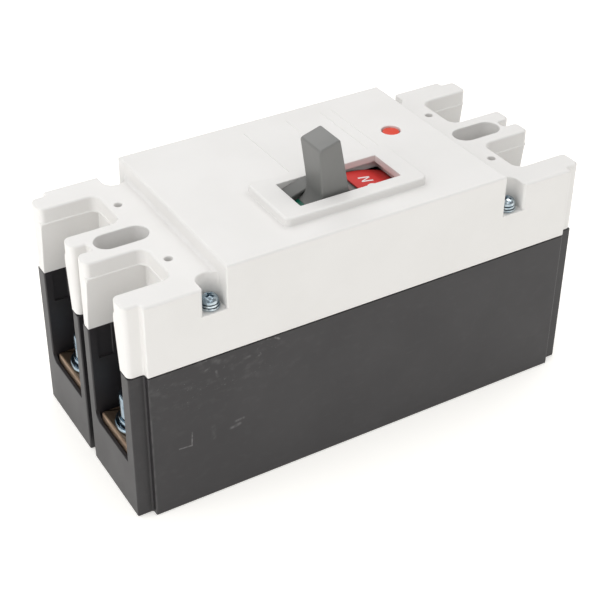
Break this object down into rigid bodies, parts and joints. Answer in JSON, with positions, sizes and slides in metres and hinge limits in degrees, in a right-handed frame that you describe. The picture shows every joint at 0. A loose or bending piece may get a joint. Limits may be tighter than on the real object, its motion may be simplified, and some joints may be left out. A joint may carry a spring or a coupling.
{
  "type": "molded case circuit breaker",
  "caption": "Molded case circuit breaker with a tilting toggle handle in a bezel, screw terminals in end compartments, mounting wells and a push-to-trip button.",
  "frame": {"origin": "centre of the mounting face, at the bottom of the base", "axes": "+X along the length from the line end to the load end, +Y across the poles away from the handle's pole, +Z out of the mounting face towards the handle"},
  "size_m": [0.165, 0.0746, 0.1051],
  "materials": {
    "white_cover": "satin",
    "black_base": "fine molded texture",
    "grey_handle": "satin",
    "red": "satin",
    "green": "satin",
    "copper": "bare copper",
    "silver_contact": "silver alloy",
    "zinc": "zinc plated",
    "steel": "plain",
    "black_insulator": "plain"
  },
  "bodies": {
    "housing": {"base_housing": "black_base", "cover": "white_cover", "cover_screw_line_near": "zinc", "cover_screw_line_far": "zinc", "cover_screw_load_near": "zinc", "cover_screw_load_far": "zinc", "cover_spring_washer_line_near": "zinc", "cover_spring_washer_line_far": "zinc", "cover_spring_washer_load_near": "zinc", "cover_spring_washer_load_far": "zinc", "line_bar_near": "copper", "line_bar_far": "copper", "load_bar_near": "copper", "load_bar_far": "copper", "terminal_bolt_line_near": "zinc", "terminal_bolt_line_far": "zinc", "terminal_bolt_load_near": "zinc", "terminal_bolt_load_far": "zinc", "terminal_spring_washer_line_near": "zinc", "terminal_spring_washer_line_far": "zinc", "terminal_spring_washer_load_near": "zinc", "terminal_spring_washer_load_far": "zinc", "terminal_flat_washer_line_near": "zinc", "terminal_flat_washer_line_far": "zinc", "terminal_flat_washer_load_near": "zinc", "terminal_flat_washer_load_far": "zinc", "side_plate_near": "steel", "side_plate_far": "steel", "cradle": "steel", "fixed_contact_near": "silver_contact", "fixed_contact_far": "silver_contact", "arc_chute_near": "steel", "arc_chute_far": "steel", "braid_near": "copper", "braid_far": "copper", "bimetal_near": "steel", "bimetal_far": "steel", "magnet_yoke_near": "steel", "magnet_yoke_far": "steel", "button_spring": "steel"},
    "handle": {"handle": "grey_handle", "on_flag": "red", "off_flag": "green", "handle_yoke": "steel", "main_spring_near": "steel", "main_spring_far": "steel"},
    "contacts": {"crossbar": "black_insulator", "contact_arm_near": "copper", "contact_arm_far": "copper", "moving_contact_near": "silver_contact", "moving_contact_far": "silver_contact"},
    "upper_link": {"upper_link": "steel"},
    "lower_link": {"lower_link": "steel", "knee_pin": "steel"},
    "trip_button": {"trip_button": "red"},
    "trip_bar": {"trip_bar": "black_insulator"},
    "armature_near": {"armature_near": "steel"},
    "armature_far": {"armature_far": "steel"}
  },
  "joints": [
    {"name": "handle_swing", "type": "hinge", "parent": "housing", "child": "handle", "pos_m": [0.0009, -0.01787, 0.042], "axis": [0, 1, 0], "range_deg": [0, 20]},
    {"name": "contact_swing", "type": "hinge", "parent": "housing", "child": "contacts", "pos_m": [0.012, 0, 0.03], "axis": [0, 1, 0], "range_deg": [0, 25]},
    {"name": "upper_link_swing", "type": "hinge", "parent": "housing", "child": "upper_link", "pos_m": [0.002, -0.01787, 0.054], "axis": [0, 1, 0], "range_deg": [-33.2, 0]},
    {"name": "lower_link_swing", "type": "hinge", "parent": "contacts", "child": "lower_link", "pos_m": [0.002, -0.01787, 0.031], "axis": [0, 1, 0], "range_deg": [-3, 0]},
    {"name": "button_press", "type": "slide", "parent": "housing", "child": "trip_button", "axis": [0, 0, -1], "range_m": [0, 0.0018], "stiffness_N_per_m": 400, "deforming": ["button_spring"]},
    {"name": "trip_bar_turn", "type": "hinge", "parent": "housing", "child": "trip_bar", "pos_m": [0.044, 0, 0.05], "axis": [0, 1, 0], "range_deg": [-17, 0]},
    {"name": "armature_near_swing", "type": "hinge", "parent": "housing", "child": "armature_near", "pos_m": [0.0354, -0.01787, 0.0251], "axis": [0, 1, 0], "range_deg": [0, 6], "stiffness_Nm_per_rad": 0.005},
    {"name": "armature_far_swing", "type": "hinge", "parent": "housing", "child": "armature_far", "pos_m": [0.0354, 0.01787, 0.0251], "axis": [0, 1, 0], "range_deg": [0, 6], "stiffness_Nm_per_rad": 0.005}
  ],
  "couplings": [
    {"joint": "contact_swing", "follows": "handle_swing", "ratio": 1.25},
    {"joint": "upper_link_swing", "follows": "handle_swing", "ratio": -1.65},
    {"joint": "lower_link_swing", "follows": "handle_swing", "ratio": -0.13},
    {"joint": "trip_bar_turn", "follows": "button_press", "rad_per_m": -155}
  ]
}
